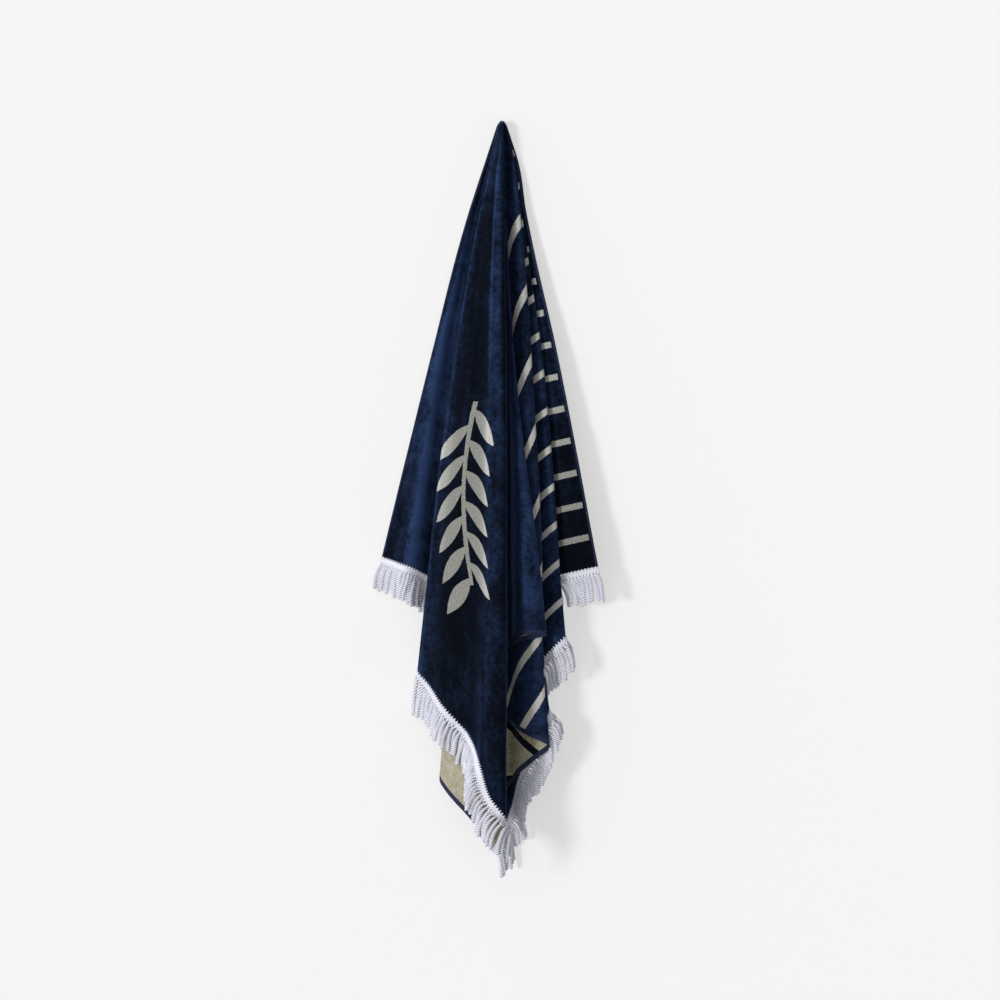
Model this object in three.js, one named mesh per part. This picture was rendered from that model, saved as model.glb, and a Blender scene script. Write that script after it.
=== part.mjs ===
// A fringed beach towel hung from the middle of one long side.
// Units are millimetres. The origin is the hang point, +Z is up, and the wall side is +Y.
// The towel falls as a folded cone: its creases run down from the hang point, and between them lie panels
// that are stacked from the wall forwards.
import * as THREE from "three";

// Driving dimensions of the flat towel
const clothLength = 1700;
const clothWidth = 1000;
const clothThickness = 2.4;
const pinchedThickness = 0.8;
const thicknessGrowth = 0.003;
const biasStretch = 0.036;

// The fringe sewn to each short end
const headerDepth = 15;
const cordLength = 52;
const toothPitch = 25;
const toothGap = 3.5;
const seamGap = 1.5;
const columnClearance = 0.004;
const fringeThickness = 1.8;

// How the layers of cloth stack up in front of the wall
const wallPlane = 14;
const tipHalfWidth = 5.5;
const tipSide = 15;
const pinchedPitch = 1.9;
const hangingPitch = 5.0;
const fullDepthRadius = 800;
const foldRoom = 8;
const foldRoomLength = 24;
const foldNose = 5;
const pinchedNoseShare = 0.3;
const leastDropShare = 0.3;

// Distances from the hang point at which the creases' side angles are given
const sideLevels = [60, 170, 430, 800, 1000, 1250];

// Each crease in its order through the cloth, from the right half of the hung edge to the left half.
// flat is its angle about the hang point in the flat towel, and side holds the angles from straight down,
// to the right, at the six levels.
const creases = [
  { name: "rightEdge", flat: 0, side: [18.0, 13.5, 12.8, 11.9, 11.8, 11.8] },
  { name: "behindFlap", flat: 15.5, side: [-5.0, -5.0, -3.6, -2.6, -2.5, -2.4] },
  { name: "outerPleat", flat: 27.6, side: [15.5, 10.9, 9.3, 7.3, 6.8, 6.5] },
  { name: "behindOuterPleat", flat: 33.5, side: [1.5, 1.5, 1.8, 2.2, 2.2, 2.2] },
  { name: "innerPleat", flat: 37.1, side: [9.0, 7.4, 6.0, 4.9, 4.3, 4.8] },
  { name: "rightCornerFold", flat: 52.0, side: [-5.6, -5.6, -4.2, -2.8, -2.4, -1.5] },
  { name: "stripedPleat", flat: 61.2, side: [14.0, 9.9, 6.85, 5.15, 4.3, 4.4] },
  { name: "behindStripedPleat", flat: 75.5, side: [-6.5, -3.5, -1.7, -2.8, -2.9, -2.8] },
  { name: "plainPleat", flat: 90, side: [2.2, 2.2, 2.7, 4.55, 4.85, 5.0] },
  { name: "behindPlainPleat", flat: 103, side: [-5.0, -5.0, -4.0, -2.8, -2.7, -2.6] },
  { name: "innerTuck", flat: 112, side: [0.0, 0.0, -0.2, -0.5, -0.5, -0.5] },
  { name: "leftCornerFold", flat: 123, side: [-5.6, -5.6, -5.8, -5.5, -5.4, -5.3] },
  { name: "centreFold", flat: 132.5, side: [1.4, 0.9, 0.9, 0.56, 0.52, 0.35] },
  { name: "frontPanelEdge", flat: 147.5, side: [-13.6, -13.5, -11.1, -9.3, -8.7, -8.2] },
  { name: "behindLeftFlap", flat: 161.5, side: [-3.0, -3.0, -2.4, -1.6, -1.6, -1.6] },
  { name: "leftEdge", flat: 180, side: [-18.0, -18.0, -16.1, -15.1, -15.0, -15.0] },
];

// Where the cloth is pulled out of a true cone, by crease number: mm along and up the flat towel
const pulls = [
  { crease: 0, along: 0, up: 0 },
  { crease: 1, along: 0, up: 0 },
  { crease: 2, along: 15, up: 0 },
  { crease: 3, along: 8, up: 0 },
  { crease: 4, along: 0, up: 0 },
  { crease: 5, along: 0, up: 14 },
  { crease: 6, along: -27, up: 0 },
  { crease: 7, along: -10, up: 12 },
  { crease: 8, along: 0, up: 34 },
  { crease: 8.23, along: 0, up: 40 },
  { crease: 8.54, along: 0, up: 34 },
  { crease: 9, along: 0, up: 25 },
  { crease: 10, along: 0, up: 12 },
  { crease: 11, along: 0, up: 0 },
  { crease: 15, along: 0, up: 0 },
];

// Panel j lies between creases j and j + 1. This is their order from the wall to the front.
const wallToFront = [14, 13, 0, 1, 2, 3, 4, 5, 6, 7, 8, 9, 10, 11, 12];
const rightFlap = 0;
const stripedPanel = 6;
const plainPanel = 8;
const hiddenPanel = 11;
const frontPanel = 12;
const wrapPanel = 13;
const leftFlap = 14;

// Soft ridges that stand forward: height in mm at full depth, width and side in degrees
const ridges = [
  { panel: leftFlap, height: 40, width: 2.1, side: [-17.0, -16.6, -14.6, -11.8, -11.6, -11.4] },
  { panel: rightFlap, height: 55, width: 9.0, side: [13.0, 13.0, 13.0, 13.0, 13.0, 13.0] },
  { panel: plainPanel, height: 12, width: 1.6, side: [1.6, 1.6, 1.9, 2.6, 2.7, 2.8] },
  { panel: frontPanel, height: 6, width: 0.9, side: [-11.5, -11.5, -8.6, -7.0, -6.4, -6.0] },
];

// Steps where a panel comes forward to the right: width and rise in mm, and side in degrees
const steps = [
  { panel: hiddenPanel, width: 7, rise: [2, 5, 11, 20, 26, 28], side: [-5.5, -4.6, -2.9, -2, -1.6, -1.8] },
  { panel: frontPanel, width: 5.5, rise: [1, 2, 4, 6, 8, 10], side: [-5.5, -4.6, -2.9, -2.1, -1.85, -2.1] },
];

// Where more or less cloth is gathered into a panel: width in mm, how much more, and side in degrees
const gathers = [
  {
    panel: frontPanel,
    width: 11,
    more: [0.0, 0.3, 0.6, 1.0, 1.8, 2.2],
    side: [-5.5, -4.6, -2.9, -2.1, -1.75, -1.62],
  },
  {
    panel: frontPanel,
    width: 22,
    more: [0.0, 0.0, -0.1, -0.3, -0.4, -0.4],
    side: [-13.6, -13.5, -11.1, -9.3, -8.7, -8.2],
  },
  {
    panel: frontPanel,
    width: 12,
    more: [0.0, 0.0, 0.0, -0.2, -0.4, -0.4],
    side: [1.4, 0.9, 0.9, 0.56, 0.52, 0.35],
  },
  {
    panel: hiddenPanel,
    width: 20,
    more: [0.0, 0.0, 0.0, 0.0, -0.2, -0.2],
    side: [1.4, 0.9, 0.9, 0.56, 0.52, 0.35],
  },
  {
    panel: stripedPanel,
    width: 35,
    more: [0.0, 0.0, 0.0, 0.2, 0.5, 0.5],
    side: [-4.5, -4.5, -4.5, -4.5, -4.5, -4.5],
  },
];

// Where the columns of the mesh cross a panel, as fractions of its width
const plainFractions = [0, 0.025, 0.07, 0.2, 0.4, 0.6, 0.8, 0.93, 0.975];
const wideFractions = [0, 0.02, 0.05, 0.1, 0.18, 0.27, 0.36, 0.45, 0.54, 0.63, 0.72, 0.81, 0.9, 0.95, 0.98];
const rowFractions = [0, 0.04, 0.1, 0.18, 0.28, 0.4, 0.52, 0.64, 0.76, 0.88, 1];

// The grid on which the stack of layers is worked out
const gridStart = -26;
const gridStep = 0.25;
const gridCells = 184;
const levelStep = 30;
const levelCount = 49;
const quarterTurnSteps = 5;
const flatSteps = 24;
const liftWindow = { base: 1.5, growth: 0.012, least: 2, most: 12 };
const steepestFall = 1.3;
const softenPasses = 3;

const halfLength = clothLength / 2;
const rad = Math.PI / 180;
const lerp = (a, b, t) => a + (b - a) * t;
const clamp = (v, low, high) => Math.min(high, Math.max(low, v));
const justBelow = 0.001;
const tiny = 1e-6;
const halvings = 40;

// A smooth curve through six values given at the side levels
function atLevel(values, radius) {
  const last = sideLevels.length - 1;
  if (radius <= sideLevels[0]) return values[0];
  if (radius >= sideLevels[last]) return values[last];
  let i = 0;
  while (radius > sideLevels[i + 1]) i++;
  const slope = (a, b) => (values[b] - values[a]) / (sideLevels[b] - sideLevels[a]);
  const width = sideLevels[i + 1] - sideLevels[i];
  const t = (radius - sideLevels[i]) / width;
  const startSlope = i === 0 ? 0 : slope(i - 1, i + 1);
  const endSlope = i + 1 === last ? 0 : slope(i, i + 2);
  const t2 = t * t;
  const t3 = t2 * t;
  return (2 * t3 - 3 * t2 + 1) * values[i] + (t3 - 2 * t2 + t) * width * startSlope
    + (-2 * t3 + 3 * t2) * values[i + 1] + (t3 - t2) * width * endSlope;
}

const depthShare = (radius) => Math.min(1, radius / fullDepthRadius);
const pitchAt = (radius) => lerp(pinchedPitch, hangingPitch, depthShare(radius));
const tipOffset = (side) => (tipHalfWidth * side) / tipSide;
const sideToX = (side, radius) => tipOffset(side) + radius * Math.sin(side * rad);

// The highest value within a window of cells, then averaged, so that a layer rides over what is behind it
function liftOver(ground, cells) {
  const highest = ground.map((_, i) => {
    let most = -Infinity;
    for (let k = Math.max(0, i - cells); k <= Math.min(ground.length - 1, i + cells); k++)
      most = Math.max(most, ground[k]);
    return most;
  });
  return highest.map((_, i) => {
    let sum = 0;
    let weight = 0;
    for (let k = Math.max(0, i - cells); k <= Math.min(ground.length - 1, i + cells); k++) {
      const w = 1 + cells - Math.abs(k - i);
      sum += w * highest[k];
      weight += w;
    }
    return sum / weight;
  });
}

// Cloth doesn't fall back beside the stack more steeply than this
function limitSlope(heights, drop) {
  const limited = [...heights];
  for (let i = 1; i < limited.length; i++) limited[i] = Math.max(limited[i], limited[i - 1] - drop);
  for (let i = limited.length - 2; i >= 0; i--) limited[i] = Math.max(limited[i], limited[i + 1] - drop);
  return limited;
}

// Panels that are the front partner at a crease, and so leave room there for the fold
function frontFolds(panel) {
  if (panel === frontPanel) return [frontPanel, frontPanel + 1];
  if (panel === wrapPanel) return [wrapPanel + 1];
  return panel > 0 && panel < frontPanel ? [panel] : [];
}

// How far each panel stands in front of the wall, over a grid of side angles, at one distance
function stackDepths(radius) {
  let ground = new Array(gridCells).fill(0);
  const share = depthShare(radius);
  const cellWidth = sideToX(gridStep, radius);
  const wide = Math.ceil((liftWindow.base + liftWindow.growth * radius) / cellWidth);
  const window = clamp(wide, liftWindow.least, liftWindow.most);
  const depths = [];
  for (const panel of wallToFront) {
    const base = limitSlope(liftOver(ground, window), steepestFall * cellWidth);
    const ends = [creases[panel], creases[panel + 1]].map((c) => atLevel(c.side, radius));
    const low = Math.min(...ends);
    const high = Math.max(...ends);
    const folds = frontFolds(panel).map((k) => atLevel(creases[k].side, radius));
    const bumps = ridges.filter((ridge) => ridge.panel === panel);
    const rises = steps.filter((step) => step.panel === panel);
    depths[panel] = base.map((under, i) => {
      const side = gridStart + i * gridStep;
      const rise = (base[Math.min(gridCells - 1, i + 1)] - base[Math.max(0, i - 1)]) / (2 * cellWidth);
      let depth = under + pitchAt(radius) * Math.hypot(1, rise);
      for (const fold of folds) {
        const away = ((side - fold) * rad * radius) / (foldRoomLength * share + 0.5);
        depth += foldRoom * share * Math.exp(-away * away);
      }
      for (const bump of bumps) {
        const away = (side - atLevel(bump.side, radius)) / bump.width;
        depth += bump.height * share * Math.exp(-away * away);
      }
      for (const step of rises) {
        const away = ((side - atLevel(step.side, radius)) * rad * radius) / step.width;
        depth += (atLevel(step.rise, radius) * (1 + Math.tanh(away))) / 2;
      }
      return depth;
    });
    ground = ground.map((under, i) => {
      const side = gridStart + i * gridStep;
      const inside = side >= low - gridStep && side <= high + gridStep;
      return inside ? Math.max(under, depths[panel][i]) : under;
    });
  }
  return depths;
}

function depthAt(depths, panel, side) {
  const place = clamp((side - gridStart) / gridStep, 0, gridCells - 1 - justBelow);
  const i = Math.floor(place);
  return lerp(depths[panel][i], depths[panel][i + 1], place - i);
}

const noseAt = (radius) => foldNose * lerp(pinchedNoseShare, 1, depthShare(radius));

// The fold that a panel makes with its neighbour at its start or its end
function foldAt(depths, panel, crease, radius) {
  const other = crease === panel ? panel - 1 : panel + 1;
  const side = atLevel(creases[crease].side, radius);
  if (other < 0 || other >= creases.length - 1) return null;
  const own = depthAt(depths, panel, side);
  const partner = depthAt(depths, other, side);
  const half = Math.abs(own - partner) / 2;
  return { middle: (own + partner) / 2, half, nose: Math.min(half, noseAt(radius)) };
}

// One panel's line at one distance from the hang point, from the tip of one fold to the tip of the next
function panelLine(depths, panel, radius) {
  const startSide = atLevel(creases[panel].side, radius);
  const endSide = atLevel(creases[panel + 1].side, radius);
  const startFold = foldAt(depths, panel, panel, radius);
  const endFold = foldAt(depths, panel, panel + 1, radius);
  const way = Math.sign(endSide - startSide);
  const startX = sideToX(startSide, radius) + (startFold ? way * startFold.nose : 0);
  const endX = sideToX(endSide, radius) - (endFold ? way * endFold.nose : 0);
  const points = [];
  const quarter = (fold, x, own, outward, step) => {
    const turn = ((step / quarterTurnSteps) * Math.PI) / 2;
    const toOwn = Math.sign(own - fold.middle);
    const depth = fold.middle + toOwn * fold.half * Math.sin(turn);
    points.push([x + outward * fold.nose * Math.cos(turn), depth]);
  };
  if (startFold)
    for (let k = 0; k < quarterTurnSteps; k++)
      quarter(startFold, startX, depthAt(depths, panel, startSide), -way, k);
  for (let k = 0; k <= flatSteps; k++) {
    const t = k / flatSteps;
    points.push([lerp(startX, endX, t), depthAt(depths, panel, lerp(startSide, endSide, t))]);
  }
  if (endFold)
    for (let k = quarterTurnSteps - 1; k >= 0; k--)
      quarter(endFold, endX, depthAt(depths, panel, endSide), way, k);
  return points;
}

// How much of the cloth a short run of a panel takes, compared with one without gathers
function fullness(panel, x, radius) {
  let full = 1;
  for (const gather of gathers) {
    if (gather.panel !== panel) continue;
    const away = (x - sideToX(atLevel(gather.side, radius), radius)) / gather.width;
    full += atLevel(gather.more, radius) * Math.exp(-away * away);
  }
  return full;
}

// Points on a panel's line at given fractions of the panel's cloth
function alongLine(points, fractions, panel, radius) {
  const taken = [0];
  for (let i = 1; i < points.length; i++) {
    const [fromX, fromDepth] = points[i - 1];
    const [toX, toDepth] = points[i];
    const run = Math.hypot(toX - fromX, toDepth - fromDepth);
    taken.push(taken[i - 1] + run * fullness(panel, (fromX + toX) / 2, radius));
  }
  const total = taken[taken.length - 1];
  return fractions.map((fraction) => {
    let i = 0;
    while (i < points.length - 2 && taken[i + 1] < fraction * total) i++;
    const t = (fraction * total - taken[i]) / Math.max(tiny, taken[i + 1] - taken[i]);
    return [lerp(points[i][0], points[i + 1][0], t), lerp(points[i][1], points[i + 1][1], t)];
  });
}

// Rounds small kinks off a cross-section
function softened(line) {
  let points = line;
  for (let pass = 0; pass < softenPasses; pass++)
    points = points.map((point, i) => {
      if (i === 0 || i === points.length - 1) return point;
      return [0, 1].map((n) => (points[i - 1][n] + 2 * point[n] + points[i + 1][n]) / 4);
    });
  return points;
}

// The whole cloth's cross-section at every level, at evenly spaced fractions of each panel
const fineSteps = 60;
const lastCrease = creases.length - 1;
const fineFractions = Array.from({ length: fineSteps }, (_, i) => i / fineSteps);
const sections = Array.from({ length: levelCount }, (_, level) => {
  const radius = level * levelStep;
  const depths = stackDepths(radius);
  const line = [];
  for (let panel = 0; panel < lastCrease; panel++)
    line.push(...alongLine(panelLine(depths, panel, radius), fineFractions, panel, radius));
  line.push(panelLine(depths, lastCrease - 1, radius).at(-1));
  return softened(line);
});

// Where a point hangs, from its chain value (crease number plus fraction of the panel) and its distance
// from the hang point
function hungPoint(chain, radius) {
  const column = clamp(chain * fineSteps, 0, lastCrease * fineSteps - justBelow);
  const level = clamp(radius / levelStep, 0, levelCount - 1 - justBelow);
  const i = Math.floor(column);
  const j = Math.floor(level);
  const sample = (row) => [0, 1].map((n) => lerp(sections[row][i][n], sections[row][i + 1][n], column - i));
  const [lowX, lowDepth] = sample(j);
  const [highX, highDepth] = sample(j + 1);
  const [tipX, tipDepth] = sample(0);
  const x = lerp(lowX, highX, level - j);
  const depth = lerp(lowDepth, highDepth, level - j);
  const sideways = (x - tipX) ** 2 + (depth - tipDepth) ** 2;
  const drop = Math.sqrt(Math.max((leastDropShare * radius) ** 2, radius * radius - sideways));
  return new THREE.Vector3(x, wallPlane - depth, -drop);
}

// The flat towel's angle and pulls at a chain value
function flatAt(chain) {
  const crease = Math.min(Math.floor(chain), lastCrease - 1);
  const flat = lerp(creases[crease].flat, creases[crease + 1].flat, chain - crease) * rad;
  const next = clamp(pulls.findIndex((row) => row.crease >= chain), 1, pulls.length - 1);
  const [from, to] = [pulls[next - 1], pulls[next]];
  const t = (chain - from.crease) / (to.crease - from.crease);
  return { flat, along: lerp(from.along, to.along, t), up: lerp(from.up, to.up, t) };
}

// How far the cloth reaches along a chain value, with extra length added past the fringed ends
function reach(chain, extra) {
  const { flat, along, up } = flatAt(chain);
  const stretch = 1 + biasStretch * Math.sin(2 * flat) ** 2;
  const across = Math.cos(flat);
  const toEnd = (halfLength + extra - Math.sign(across) * along) / Math.max(tiny, Math.abs(across));
  const toHem = (clothWidth - up) / Math.max(tiny, Math.sin(flat));
  return { end: toEnd * stretch, hem: toHem * stretch };
}

// How far down the flat towel a chain value meets the fringed end
function flatHeight(chain) {
  const { flat, along, up } = flatAt(chain);
  const across = Math.cos(flat);
  const toEnd = (halfLength - Math.sign(across) * along) / Math.max(tiny, Math.abs(across));
  return up + toEnd * Math.sin(flat);
}

// The chain value where the fringed end is at a given height in the flat towel
function chainAtEnd(height, cornerChain, edgeChain) {
  let low = edgeChain;
  let high = cornerChain;
  for (let k = 0; k < halvings; k++) {
    const middle = (low + high) / 2;
    if (flatHeight(middle) < height) low = middle;
    else high = middle;
  }
  return (low + high) / 2;
}

function cornerChain(start, step) {
  let chain = start;
  while (flatHeight(chain) < clothWidth) chain += step;
  return chain;
}

const chainStep = 0.001;
const rightCorner = cornerChain(0, chainStep);
const leftCorner = cornerChain(lastCrease, -chainStep);

// A closed sheet over the cells of a grid of middle points, each cell present or not
function sheetGeometry(middle, thickness, present) {
  const rows = middle.length;
  const columns = middle[0].length;
  const normals = middle.map((row, i) => row.map((_, j) => {
    const down = middle[Math.min(rows - 1, i + 1)][j].clone().sub(middle[Math.max(0, i - 1)][j]);
    const across = row[Math.min(columns - 1, j + 1)].clone().sub(row[Math.max(0, j - 1)]);
    return across.cross(down).normalize();
  }));
  const face = (i, j, sign) => {
    const offset = (sign * thickness(i, j)) / 2;
    return middle[i][j].clone().addScaledVector(normals[i][j], offset);
  };
  const triangles = [];
  const quad = (a, b, c, d) => triangles.push(a, b, c, a, c, d);
  const filled = (i, j) => i >= 0 && j >= 0 && i < rows - 1 && j < columns - 1 && present(i, j);
  for (let i = 0; i < rows - 1; i++)
    for (let j = 0; j < columns - 1; j++) {
      if (!filled(i, j)) continue;
      const front = [face(i, j, 1), face(i, j + 1, 1), face(i + 1, j + 1, 1), face(i + 1, j, 1)];
      const back = [face(i, j, -1), face(i, j + 1, -1), face(i + 1, j + 1, -1), face(i + 1, j, -1)];
      quad(front[0], front[1], front[2], front[3]);
      quad(back[0], back[3], back[2], back[1]);
      if (!filled(i - 1, j)) quad(back[0], back[1], front[1], front[0]);
      if (!filled(i + 1, j)) quad(front[3], front[2], back[2], back[3]);
      if (!filled(i, j - 1)) quad(back[0], front[0], front[3], back[3]);
      if (!filled(i, j + 1)) quad(front[1], back[1], back[2], front[2]);
    }
  const geometry = new THREE.BufferGeometry().setFromPoints(triangles);
  geometry.computeVertexNormals();
  return geometry;
}

// The chain values of the cloth's columns, with one at each bottom corner
function clothColumns() {
  const chains = [];
  for (let panel = 0; panel < lastCrease; panel++) {
    const fractions = panel >= frontPanel || panel === rightFlap ? wideFractions : plainFractions;
    chains.push(...fractions.map((fraction) => panel + fraction));
  }
  chains.push(lastCrease);
  for (const corner of [rightCorner, leftCorner]) {
    const nearest = chains.reduce((a, b) => (Math.abs(b - corner) < Math.abs(a - corner) ? b : a));
    chains[chains.indexOf(nearest)] = corner;
  }
  return chains;
}

function clothGeometry() {
  const chains = clothColumns();
  const ends = chains.map((chain) => Math.min(reach(chain, 0).end, reach(chain, 0).hem));
  const radiusAt = (i, j) => ends[j] * rowFractions[i];
  const middle = rowFractions.map((_, i) => chains.map((chain, j) => hungPoint(chain, radiusAt(i, j))));
  const thickness = (i, j) => Math.min(clothThickness, pinchedThickness + thicknessGrowth * radiusAt(i, j));
  return sheetGeometry(middle, thickness, () => true);
}

// One fringe: its header follows the cloth's end, and its teeth are bunches of cords that hang down
function fringeGeometry(edgeChain, cornerAt) {
  const columns = clothColumns();
  const low = Math.min(edgeChain, cornerAt);
  const high = Math.max(edgeChain, cornerAt);
  const radiiAt = (chain) => {
    const header = reach(chain, headerDepth).end;
    return [reach(chain, seamGap).end, header, header + cordLength];
  };
  const pointAt = (chain, row) => {
    const next = clamp(columns.findIndex((column) => column >= chain), 1, columns.length - 1);
    const [from, to] = [columns[next - 1], columns[next]];
    const ends = [from, to].map((column) => hungPoint(column, radiiAt(column)[row]));
    return ends[0].lerp(ends[1], (chain - from) / (to - from));
  };
  const teeth = [];
  for (let y = 0; y + toothPitch <= clothWidth; y += toothPitch)
    teeth.push([y, y + toothPitch - toothGap].map((height) => chainAtEnd(height, cornerAt, edgeChain)));
  const onTooth = (chain) => teeth.some((ends) => chain > Math.min(...ends) && chain < Math.max(...ends));
  const clearOfTeeth = (chain) => teeth.flat().every((end) => Math.abs(end - chain) > columnClearance);
  const shared = columns.filter((chain) => chain > low && chain < high && clearOfTeeth(chain));
  const chains = [...new Set([...teeth.flat(), ...shared, cornerAt])].sort((a, b) => a - b);
  const middle = [0, 1, 2].map((row) => chains.map((chain) => pointAt(chain, row)));
  const present = (i, j) => i === 0 || onTooth((chains[j] + chains[j + 1]) / 2);
  return sheetGeometry(middle, () => fringeThickness, present);
}

function piece(name, geometry, color, roughness) {
  const material = new THREE.MeshStandardMaterial({ color, roughness, metalness: 0 });
  const mesh = new THREE.Mesh(geometry, material);
  mesh.name = name;
  return mesh;
}

const towel = new THREE.Group();
towel.name = "beach_towel";
towel.add(piece("cloth", clothGeometry(), 0x151d40, 0.9));
towel.add(piece("fringe_right", fringeGeometry(0, rightCorner), 0xe8e8f2, 0.85));
towel.add(piece("fringe_left", fringeGeometry(lastCrease, leftCorner), 0xe8e8f2, 0.85));

export default towel;
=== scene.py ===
import math
import random

import bmesh
import bpy
import numpy as np
from mathutils import Matrix, Vector


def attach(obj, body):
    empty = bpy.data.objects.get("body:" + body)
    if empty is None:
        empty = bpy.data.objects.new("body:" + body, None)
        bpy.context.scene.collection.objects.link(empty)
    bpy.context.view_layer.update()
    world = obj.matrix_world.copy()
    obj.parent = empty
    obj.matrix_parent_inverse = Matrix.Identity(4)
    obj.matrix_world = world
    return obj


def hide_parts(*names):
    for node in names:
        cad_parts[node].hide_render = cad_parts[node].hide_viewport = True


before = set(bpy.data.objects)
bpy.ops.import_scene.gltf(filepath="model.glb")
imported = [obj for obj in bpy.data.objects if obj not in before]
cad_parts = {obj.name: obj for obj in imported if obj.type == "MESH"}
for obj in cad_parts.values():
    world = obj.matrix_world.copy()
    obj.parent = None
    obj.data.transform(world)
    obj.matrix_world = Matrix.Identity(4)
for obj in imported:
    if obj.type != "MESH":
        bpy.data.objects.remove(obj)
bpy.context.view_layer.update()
print("frame loaded:", sorted(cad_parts))

# How the towel was cut, and how its layers stack up in front of the wall, in metres
towel = {
    "length": 1.70,
    "width": 1.00,
    "thickness": 0.0024,
    "pinchedShare": 0.33,      # how thick the cloth is where it is gathered at the hang point
    "fullThicknessAt": 0.45,
    "biasStretch": 0.036,
    "slipsFrom": 0.92,
    "slipsInFull": 1.25,
    "pullsInFull": 0.12,       # nearer to the hang point than this the pulls fade out
    "hem": 0.0085,
    "sideHem": 0.0035,
    "wallGap": 0.014,
    "tipHalfWidth": 0.0055,
    "tipSide": 15,
    "capRadius": 0.010,        # the rounded top of the bunch
    "capShare": 0.45,
    "pinchedPitch": 0.0019,
    "hangingPitch": 0.0050,
    "fullDepthAt": 0.8,
    "foldRoom": 0.008,
    "foldRoomLength": 0.024,
    "leastRoomLength": 0.0005,
    "foldNose": 0.005,
    "pinchedNose": 0.3,        # the share of the nose's size that is left at the hang point
    "rideReach": 0.0015,       # how far beside an edge the layer over it is lifted, at the hang point
    "rideGrowth": 0.012,       # and how much further for each metre below it
    "rideCells": (4, 24),
    "steepestFall": 1.3,
    "leastDrop": 0.3,
    "softenPasses": 5,
    "levels": (0.06, 0.17, 0.43, 0.80, 1.00, 1.25),
    "valleyShare": 0.50,       # how far the layers beside the front panel's right fold sink in
    "valleyOffset": 0.003,
    "valleyWidth": 0.013,
    "valleyPanels": 10,        # how many layers sink in, counted from the right flap
    "crumpledInFull": 0.5,
}

# Each crease in its order through the cloth: its name, its angle about the hang point in the flat towel,
# and the angle at which it hangs at each level
creases = [
    ("rightEdge", 0, (18.0, 13.5, 12.8, 11.9, 11.8, 11.8)),
    ("behindFlap", 15.5, (-5.0, -5.0, -3.6, -2.6, -2.5, -2.4)),
    ("outerPleat", 27.6, (15.5, 10.9, 9.3, 7.3, 6.8, 6.5)),
    ("behindOuterPleat", 33.5, (1.5, 1.5, 1.8, 2.2, 2.2, 2.2)),
    ("innerPleat", 37.1, (9.0, 7.4, 6.0, 4.9, 4.3, 4.8)),
    ("rightCornerFold", 52.0, (-5.6, -5.6, -4.2, -2.8, -2.4, -1.5)),
    ("stripedPleat", 61.2, (14.0, 9.9, 6.85, 5.15, 4.3, 4.4)),
    ("behindStripedPleat", 75.5, (1.5, 0.6, -0.9, -2.6, -6.5, -7.6)),
    ("plainPleat", 90, (2.2, 2.2, 2.7, 4.55, 4.85, 5.0)),
    ("behindPlainPleat", 103, (-5.0, -5.0, -4.0, -2.8, -2.7, -2.6)),
    ("innerTuck", 112, (0.0, 0.0, -0.2, -0.5, -0.5, -0.5)),
    ("leftCornerFold", 123, (-5.6, -5.6, -5.8, -5.5, -5.4, -5.3)),
    ("centreFold", 132.5, (1.4, 0.9, 0.9, 0.56, 0.52, 0.35)),
    ("frontPanelEdge", 147.5, (-13.6, -13.5, -11.1, -9.3, -8.7, -8.2)),
    ("behindLeftFlap", 161.5, (-3.0, -3.0, -2.4, -1.6, -1.6, -1.6)),
    ("leftEdge", 180, (-18.0, -18.0, -16.1, -15.1, -15.0, -15.0)),
]

# Where the cloth is pulled out of a true cone: crease number, and how far along and up the towel
pulls = [
    (0, 0, 0),
    (1, 0, 0),
    (2, 0.015, 0),
    (3, 0.008, 0),
    (4, 0, 0),
    (5, 0, 0.014),
    (6, -0.027, 0),
    (7, -0.010, 0.012),
    (8, 0, 0.034),
    (8.23, 0, 0.040),
    (8.54, 0, 0.034),
    (9, 0, 0.025),
    (10, 0, 0.012),
    (11, 0, 0),
    (14, 0, 0),
    (15, -0.008, 0),
]

# How far the pattern has slipped along the towel near the hems, by crease number
slips = [
    (0, 0),
    (4.5, 0),
    (5, -0.035),
    (5.3, -0.010),
    (5.5, 0.030),
    (5.85, 0.066),
    (6, 0.034),
    (7, 0),
    (15, 0),
]
lastCrease = len(creases) - 1
flatAngles = np.radians([row[1] for row in creases])
sides = [row[2] for row in creases]
pulledAt, pulledX, pulledY = np.array(pulls, float).T
slippedAt, slippedX = np.array(slips, float).T

# Panel j lies between creases j and j + 1
rightFlap, outerPanel, innerPanel, stripedPanel, plainPanel, hiddenPanel = 0, 2, 4, 6, 8, 11
frontPanel, wrapPanel, leftFlap = 12, 13, 14
wallToFront = [leftFlap, wrapPanel, *range(frontPanel + 1)]

# Soft ridges that stand forward on a panel: height in metres, width and place in degrees
ridges = [
    (leftFlap, 0.040, 2.1, (-17.0, -16.6, -14.6, -11.8, -11.6, -11.4)),
    (rightFlap, 0.055, 9.0, (13.0, 13.0, 13.0, 13.0, 13.0, 13.0)),
    (plainPanel, 0.012, 1.6, (1.6, 1.6, 1.9, 2.6, 2.7, 2.8)),
    (frontPanel, 0.006, 0.9, (-11.5, -11.5, -8.6, -7.0, -6.4, -6.0)),
]

# Steps where a panel comes forward to the right: width in metres, rise in millimetres and place in degrees
steps = [
    (hiddenPanel, 0.0070, (2, 5, 11, 20, 26, 28), (-5.5, -4.6, -2.9, -2.0, -1.6, -1.8)),
    (frontPanel, 0.0055, (1, 2, 4, 6, 8, 10), (-5.5, -4.6, -2.9, -2.1, -1.85, -2.1)),
]

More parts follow.
